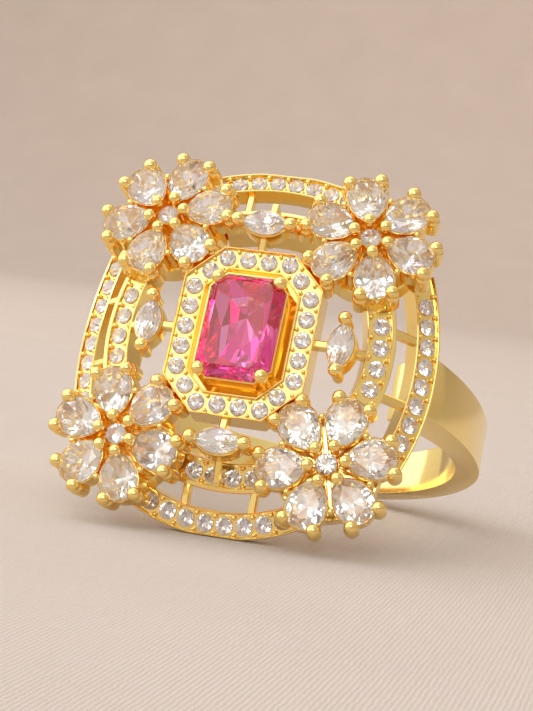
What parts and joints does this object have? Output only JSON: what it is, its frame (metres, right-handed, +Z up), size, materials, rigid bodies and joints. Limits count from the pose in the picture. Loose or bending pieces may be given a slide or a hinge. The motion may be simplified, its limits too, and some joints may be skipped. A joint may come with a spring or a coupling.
{
  "type": "cocktail ring",
  "caption": "Gold cocktail ring with a domed openwork face: a pink cut-corner stone in a halo, petal clusters at the corners and curved rows of small stones.",
  "frame": {"origin": "on the table under the middle of the ring's bounding box, as the ring lies on its side", "axes": "+Z up from the table; X across the face of the ring; the face looks towards -Y and a little upward, and the back of the band is at +Y"},
  "size_m": [0.0206, 0.0244, 0.0175],
  "materials": {
    "band_gold": "mirror-polished yellow gold plate",
    "setting_gold": "bright cast and polished yellow gold plate",
    "clear_stone": "colourless faceted cubic zirconia",
    "pink_stone": "faceted pink synthetic stone"
  },
  "bodies": {
    "root": {"arc_bars": "setting_gold", "centre_basket": "setting_gold", "centre_stone": "pink_stone", "corner_bars": "setting_gold", "flower_base_north_east": "setting_gold", "flower_base_north_west": "setting_gold", "flower_base_south_east": "setting_gold", "flower_base_south_west": "setting_gold", "flower_setting_north_east": "setting_gold", "flower_setting_north_west": "setting_gold", "flower_setting_south_east": "setting_gold", "flower_setting_south_west": "setting_gold", "flower_stone_north_east": "clear_stone", "flower_stone_north_west": "clear_stone", "flower_stone_south_east": "clear_stone", "flower_stone_south_west": "clear_stone", "halo_frame": "setting_gold", "halo_stones": "clear_stone", "inner_arc_east": "setting_gold", "inner_arc_north": "setting_gold", "inner_arc_south": "setting_gold", "inner_arc_stones_east": "clear_stone", "inner_arc_stones_north": "clear_stone", "inner_arc_stones_south": "clear_stone", "inner_arc_stones_west": "clear_stone", "inner_arc_west": "setting_gold", "marquise_bars": "setting_gold", "marquise_setting_east": "setting_gold", "marquise_setting_north": "setting_gold", "marquise_setting_south": "setting_gold", "marquise_setting_west": "setting_gold", "marquise_stone_east": "clear_stone", "marquise_stone_north": "clear_stone", "marquise_stone_south": "clear_stone", "marquise_stone_west": "clear_stone", "outer_arc_east": "setting_gold", "outer_arc_north": "setting_gold", "outer_arc_south": "setting_gold", "outer_arc_stones_east": "clear_stone", "outer_arc_stones_north": "clear_stone", "outer_arc_stones_south": "clear_stone", "outer_arc_stones_west": "clear_stone", "outer_arc_west": "setting_gold", "petal_stones_north_east": "clear_stone", "petal_stones_north_west": "clear_stone", "petal_stones_south_east": "clear_stone", "petal_stones_south_west": "clear_stone", "shank": "band_gold"}
  },
  "joints": []
}
